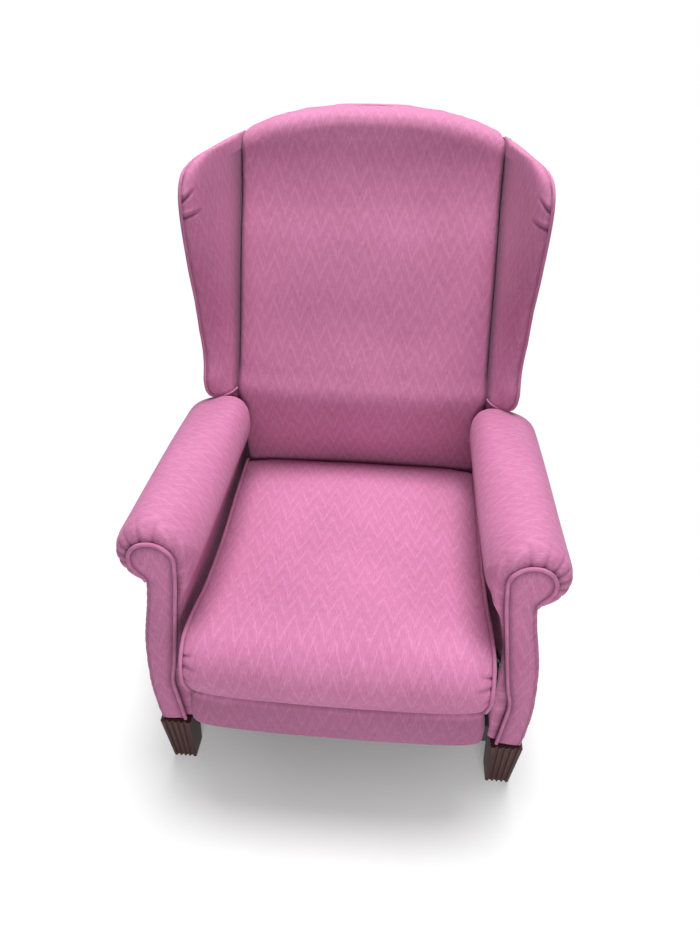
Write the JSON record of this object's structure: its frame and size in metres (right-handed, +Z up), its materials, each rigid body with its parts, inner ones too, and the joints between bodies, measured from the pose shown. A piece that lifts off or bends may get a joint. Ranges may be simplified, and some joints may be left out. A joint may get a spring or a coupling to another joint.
{
  "type": "wingback recliner",
  "caption": "Push-back wingback recliner with rolled arms, winged high back, channelled seat pad running into a swing-up footrest, and fluted front legs.",
  "frame": {"origin": "on the floor, at the middle of the chair's width and depth", "axes": "+Z up; the chair faces -Y; X runs across the chair"},
  "size_m": [0.736, 0.8648, 1.1105],
  "materials": {
    "upholstery": "mauve and pink flame-stitch jacquard weave",
    "leg_wood": "dark mahogany stain, satin",
    "frame_wood": "sawn, unfinished",
    "steel": "black semi-gloss paint",
    "bright_steel": "zinc plated",
    "glide_plastic": "moulded"
  },
  "bodies": {
    "base": {"arm_pad_left": "upholstery", "arm_pad_right": "upholstery", "arm_front_left": "upholstery", "arm_front_right": "upholstery", "arm_welt_left": "upholstery", "arm_welt_right": "upholstery", "arm_frame_left": "frame_wood", "arm_frame_right": "frame_wood", "side_rail_left": "frame_wood", "side_rail_right": "frame_wood", "front_leg_left": "leg_wood", "front_leg_right": "leg_wood", "rear_leg_left": "leg_wood", "rear_leg_right": "leg_wood", "floor_glides": "glide_plastic", "leg_bolts": "bright_steel", "front_cross_rail": "frame_wood", "rear_cross_rail": "frame_wood", "rear_rail_panel": "upholstery", "base_plate_left": "steel", "base_plate_right": "steel", "base_rivets": "bright_steel"},
    "rear_links": {"rear_link_left": "steel", "rear_link_right": "steel", "rear_torque_tube": "steel", "rear_link_rivets": "bright_steel"},
    "front_links": {"front_link_left": "steel", "front_link_right": "steel", "front_torque_tube": "steel", "front_link_rivets": "bright_steel"},
    "seat": {"seat_frame": "frame_wood", "seat_plate_left": "steel", "seat_plate_right": "steel", "seat_rivets": "bright_steel", "seat_springs": "bright_steel", "seat_cushion": "upholstery", "seat_nose": "upholstery", "hinge_seat_leaf": "bright_steel"},
    "footrest": {"footrest_board": "frame_wood", "footrest_pad": "upholstery", "footrest_bracket_left": "steel", "footrest_bracket_right": "steel", "footrest_rivets": "bright_steel", "hinge_board_leaf": "bright_steel"},
    "back": {"back_frame": "frame_wood", "outside_back": "upholstery", "back_cushion": "upholstery", "back_bracket_left": "steel", "back_bracket_right": "steel", "back_rivets": "bright_steel", "wing_outer_left": "upholstery", "wing_outer_right": "upholstery", "wing_frame_left": "frame_wood", "wing_frame_right": "frame_wood", "wing_pad_left": "upholstery", "wing_pad_right": "upholstery"},
    "footrest_struts": {"footrest_strut_left": "steel", "footrest_strut_right": "steel"},
    "back_struts": {"back_strut_left": "steel", "back_strut_right": "steel"}
  },
  "joints": [
    {"name": "recline", "type": "hinge", "parent": "base", "child": "rear_links", "pos_m": [0, 0.0008, 0.155], "axis": [1, 0, 0], "range_deg": [0, 45]},
    {"name": "front_link_swing", "type": "hinge", "parent": "base", "child": "front_links", "pos_m": [0, -0.283, 0.155], "axis": [1, 0, 0], "range_deg": [0, 45.01]},
    {"name": "seat_carry", "type": "hinge", "parent": "rear_links", "child": "seat", "pos_m": [0, 0.08212, 0.23632], "axis": [-1, 0, 0], "range_deg": [0, 45.01]},
    {"name": "footrest_raise", "type": "hinge", "parent": "seat", "child": "footrest", "pos_m": [0, -0.362, 0.352], "axis": [-1, 0, 0], "range_deg": [0, 78.01], "deforming": ["seat_nose"]},
    {"name": "back_recline", "type": "hinge", "parent": "seat", "child": "back", "pos_m": [0, 0.243, 0.335], "axis": [-1, 0, 0], "range_deg": [0, 24.01]},
    {"name": "footrest_strut_swing", "type": "hinge", "parent": "front_links", "child": "footrest_struts", "pos_m": [0, -0.2485, 0.2953], "axis": [-1, 0, 0], "range_deg": [0, 53.35]},
    {"name": "back_strut_swing", "type": "hinge", "parent": "rear_links", "child": "back_struts", "pos_m": [0, 0.0534, 0.2181], "axis": [-1, 0, 0], "range_deg": [0, 27.35]}
  ],
  "couplings": [
    {"joint": "front_link_swing", "follows": "recline", "ratio": 1},
    {"joint": "seat_carry", "follows": "recline", "ratio": 1},
    {"joint": "footrest_raise", "follows": "recline", "ratio": 1.7333},
    {"joint": "back_recline", "follows": "recline", "ratio": 0.53333},
    {"joint": "footrest_strut_swing", "follows": "recline", "ratio": 1.1853},
    {"joint": "back_strut_swing", "follows": "recline", "ratio": 0.6076}
  ]
}
